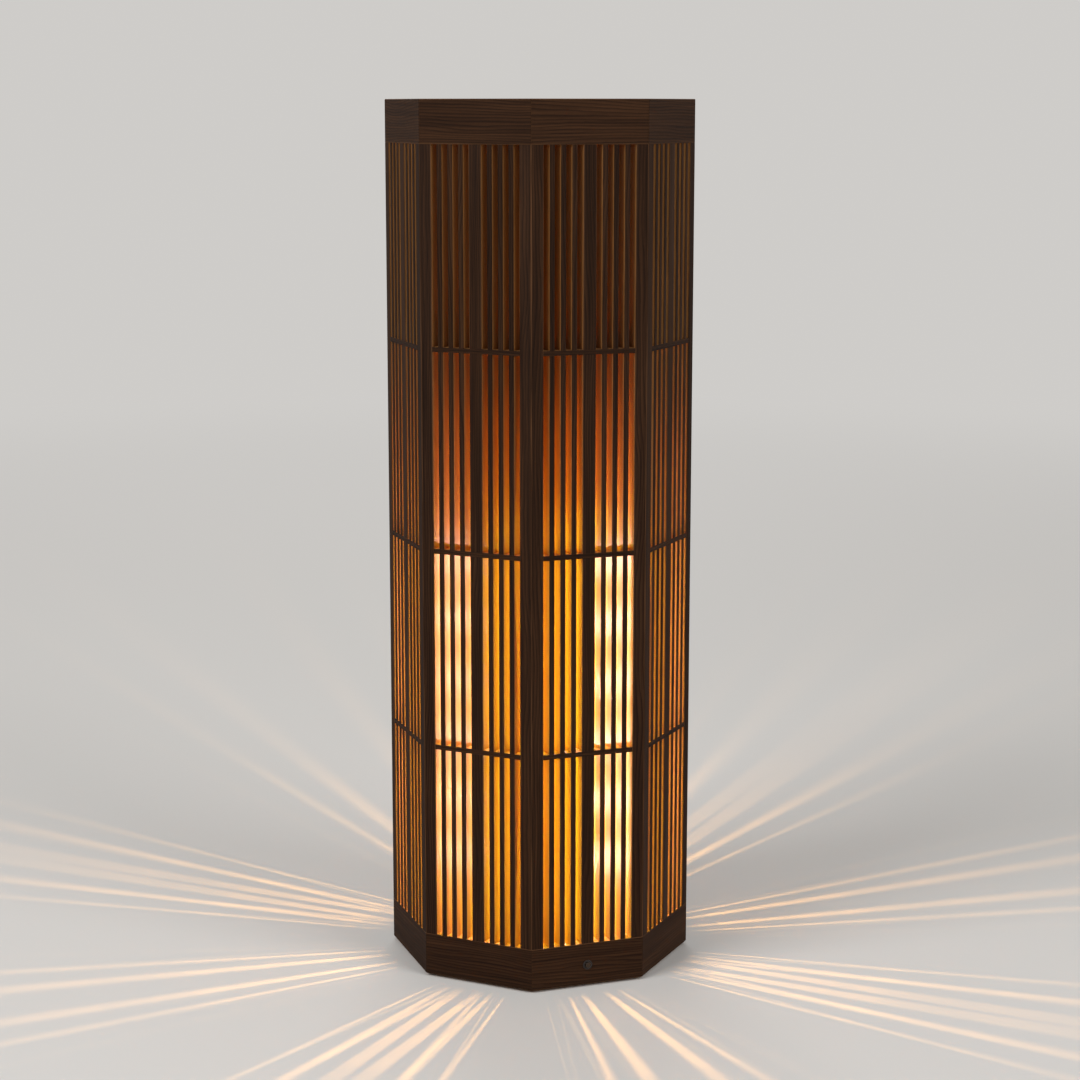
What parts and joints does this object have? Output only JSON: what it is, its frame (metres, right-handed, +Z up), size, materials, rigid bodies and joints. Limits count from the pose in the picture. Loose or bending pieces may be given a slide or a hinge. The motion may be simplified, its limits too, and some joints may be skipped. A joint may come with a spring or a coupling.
{
  "type": "andon floor lamp",
  "caption": "Tall octagonal wooden floor lamp: an open-topped cage of thin upright slats on a plinth, lit from inside by a light post, with a push button in the plinth.",
  "frame": {"origin": "on the floor, on the lamp's upright axis", "axes": "+Z up along the lamp's axis; -Y out through the face with the push button; +X to the right of that face"},
  "size_m": [0.296, 0.3009, 0.906],
  "materials": {
    "wood": "dark brown stain, oiled, satin, straight grain",
    "board_wood": "plywood, sanded",
    "rubber": "matt",
    "screw_steel": "zinc plated",
    "aluminium": "anodised, satin",
    "led_board": "white circuit board, matt",
    "led_light": "warm white light-emitting lens, lit",
    "white_plastic": "moulded, matt",
    "lead_sheath": "smooth sheath",
    "button_metal": "dark bronze, fine turned rings, satin",
    "dark_metal": "blackened, satin",
    "black_plastic": "moulded, matt"
  },
  "bodies": {
    "root": {"bottom_rail_1": "wood", "bottom_rail_2": "wood", "bottom_rail_3": "wood", "bottom_rail_4": "wood", "bottom_rail_5": "wood", "bottom_rail_6": "wood", "bottom_rail_7": "wood", "bottom_rail_8": "wood", "top_rail_1": "wood", "top_rail_2": "wood", "top_rail_3": "wood", "top_rail_4": "wood", "top_rail_5": "wood", "top_rail_6": "wood", "top_rail_7": "wood", "top_rail_8": "wood", "corner_post_1": "wood", "corner_post_2": "wood", "corner_post_3": "wood", "corner_post_4": "wood", "corner_post_5": "wood", "corner_post_6": "wood", "corner_post_7": "wood", "corner_post_8": "wood", "mid_stile_1": "wood", "mid_stile_2": "wood", "mid_stile_3": "wood", "mid_stile_4": "wood", "mid_stile_5": "wood", "mid_stile_6": "wood", "mid_stile_7": "wood", "mid_stile_8": "wood", "slats_1": "wood", "slats_2": "wood", "slats_3": "wood", "slats_4": "wood", "slats_5": "wood", "slats_6": "wood", "slats_7": "wood", "slats_8": "wood", "lower_crossbars": "wood", "middle_crossbars": "wood", "upper_crossbars": "wood", "base_board": "board_wood", "rubber_feet": "rubber", "wood_screws": "screw_steel", "light_post": "aluminium", "post_socket": "aluminium", "post_cap": "white_plastic", "led_boards": "led_board", "led_lenses": "led_light", "driver_case": "white_plastic", "inner_leads": "lead_sheath", "lead_clip": "white_plastic", "button_bezel": "dark_metal", "switch_nut": "dark_metal", "switch_body": "black_plastic", "cord_inlet": "black_plastic"},
    "button": {"push_button": "button_metal"}
  },
  "joints": [
    {"name": "button_press", "type": "slide", "parent": "root", "child": "button", "axis": [0, 1, 0], "range_m": [0, 0.0012], "stiffness_N_per_m": 1500}
  ]
}
